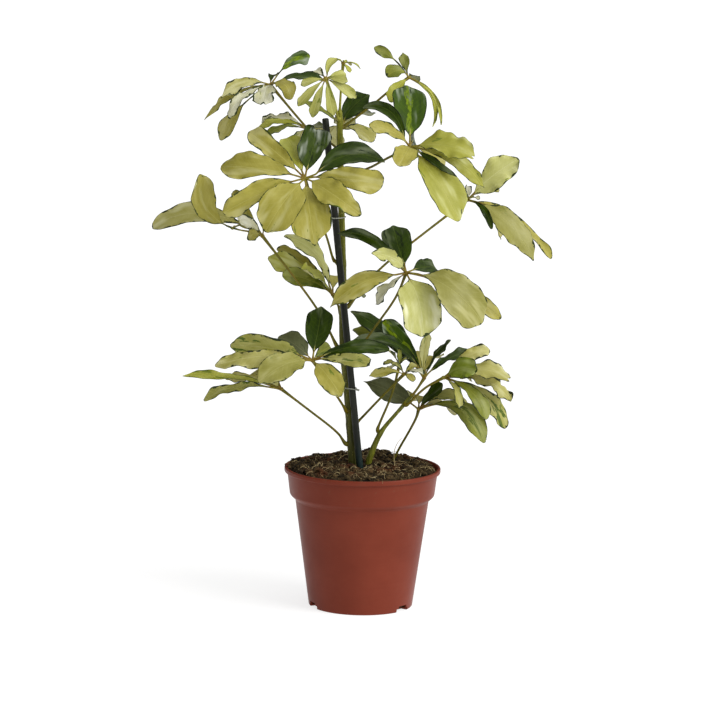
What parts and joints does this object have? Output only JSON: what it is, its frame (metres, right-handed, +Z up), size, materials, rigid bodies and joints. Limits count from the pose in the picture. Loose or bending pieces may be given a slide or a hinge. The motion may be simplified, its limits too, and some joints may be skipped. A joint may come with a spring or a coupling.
{
  "type": "potted umbrella plant",
  "caption": "Young variegated umbrella plant tied to a dark stake, with fingered cream-green leaves on long stalks, growing in soil in a round terracotta-coloured nursery pot.",
  "frame": {"origin": "middle of the flat underside of the pot", "axes": "+Z up along the pot and the stem, +X to the right and -Y towards the viewer in the front view"},
  "size_m": [0.3346, 0.1959, 0.4667],
  "materials": {
    "pot_plastic": "satin terracotta-coloured plastic",
    "soil": "rough dark peat with fibres",
    "stake_coating": "satin dark plastic coating",
    "green_stem": "smooth olive green bark",
    "tie_wire": "matt grey-green plastic-covered wire",
    "leaf": "satin cream and khaki leaflets with dark green margins"
  },
  "bodies": {
    "root": {"pot": "pot_plastic", "soil": "soil", "stake": "stake_coating", "main_stem": "green_stem", "side_shoot": "green_stem", "wire_tie_upper": "tie_wire", "wire_tie_lower": "tie_wire", "leaf_top_left": "leaf", "leaf_top_young": "leaf", "leaf_upper_right": "leaf", "leaf_far_right": "leaf", "leaf_upper_front": "leaf", "leaf_far_left": "leaf", "leaf_mid_right": "leaf", "leaf_lower_left": "leaf", "leaf_shoot_back": "leaf", "leaf_shoot_right": "leaf", "leaf_top_right": "leaf", "leaf_upper_left_back": "leaf", "leaf_upper_back": "leaf", "leaf_mid_left": "leaf", "leaf_low_far_left": "leaf", "leaf_soil_right": "leaf", "leaf_tip_bud": "leaf", "leaf_shoot_small": "leaf", "leaf_lower_small": "leaf"}
  },
  "joints": []
}
